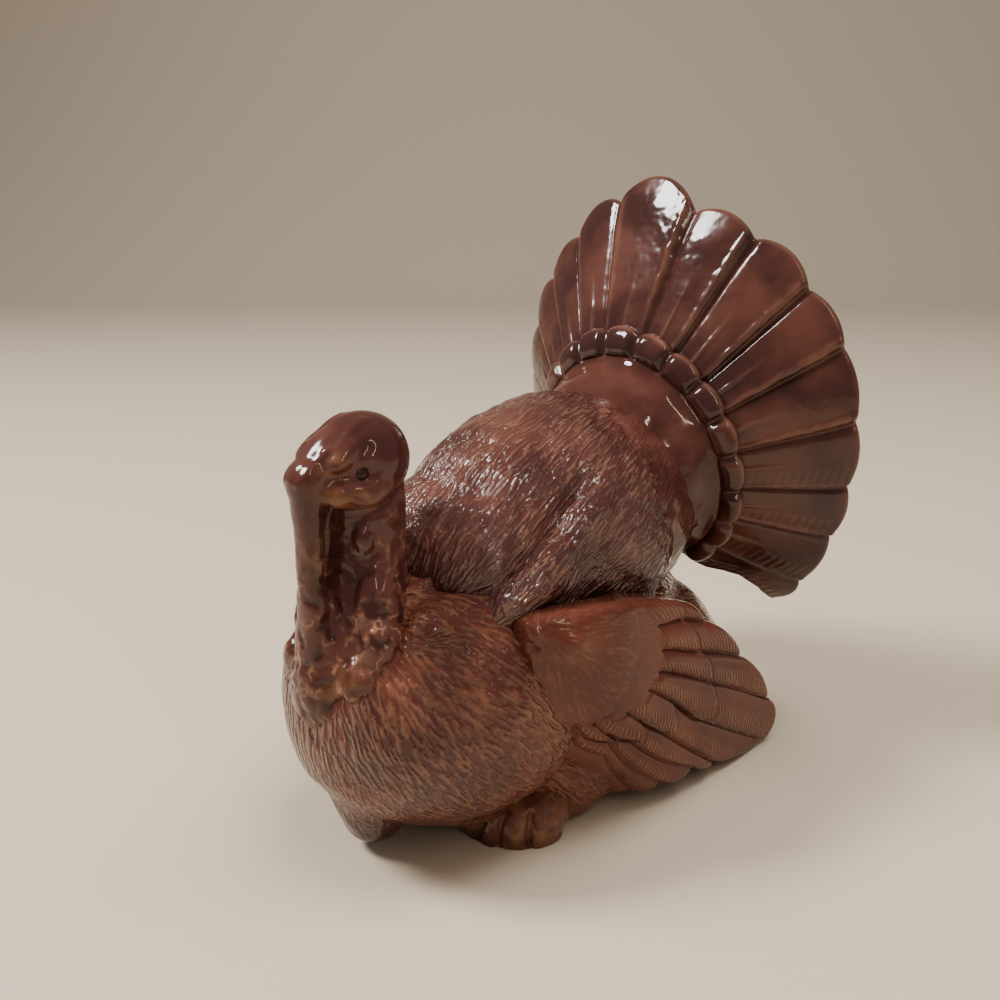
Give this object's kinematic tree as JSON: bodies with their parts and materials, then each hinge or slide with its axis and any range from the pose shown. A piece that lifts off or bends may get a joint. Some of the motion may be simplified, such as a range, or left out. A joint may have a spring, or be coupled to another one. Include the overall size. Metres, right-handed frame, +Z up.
{
  "type": "turkey figurine",
  "caption": "Glossy brown glazed ceramic turkey resting on folded legs, with folded wings, a hanging snood and a fanned tail, for seasonal table display.",
  "frame": {"origin": "on the table, under the middle of the part's box", "axes": "+Z up, the bird faces -Y and its left side is +X"},
  "size_m": [0.1612, 0.2024, 0.2143],
  "materials": {
    "plumage_glaze": "gloss",
    "tail_glaze": "gloss",
    "wing_glaze": "gloss",
    "skin_glaze": "gloss",
    "foot_glaze": "gloss"
  },
  "bodies": {
    "root": {"lower_body_shell": "plumage_glaze", "back_shell": "plumage_glaze", "keel_nub": "foot_glaze", "tail_fan": "tail_glaze", "tail_covert_ring": "tail_glaze", "tail_root_collar": "tail_glaze", "neck": "skin_glaze", "head": "skin_glaze", "beak": "skin_glaze", "snood": "skin_glaze", "caruncle_cluster": "skin_glaze", "eye_left": "skin_glaze", "wattle_left": "skin_glaze", "wing_left": "wing_glaze", "wing_coverts_left": "wing_glaze", "foot_left": "foot_glaze", "eye_right": "skin_glaze", "wattle_right": "skin_glaze", "wing_right": "wing_glaze", "wing_coverts_right": "wing_glaze", "foot_right": "foot_glaze"}
  },
  "joints": []
}
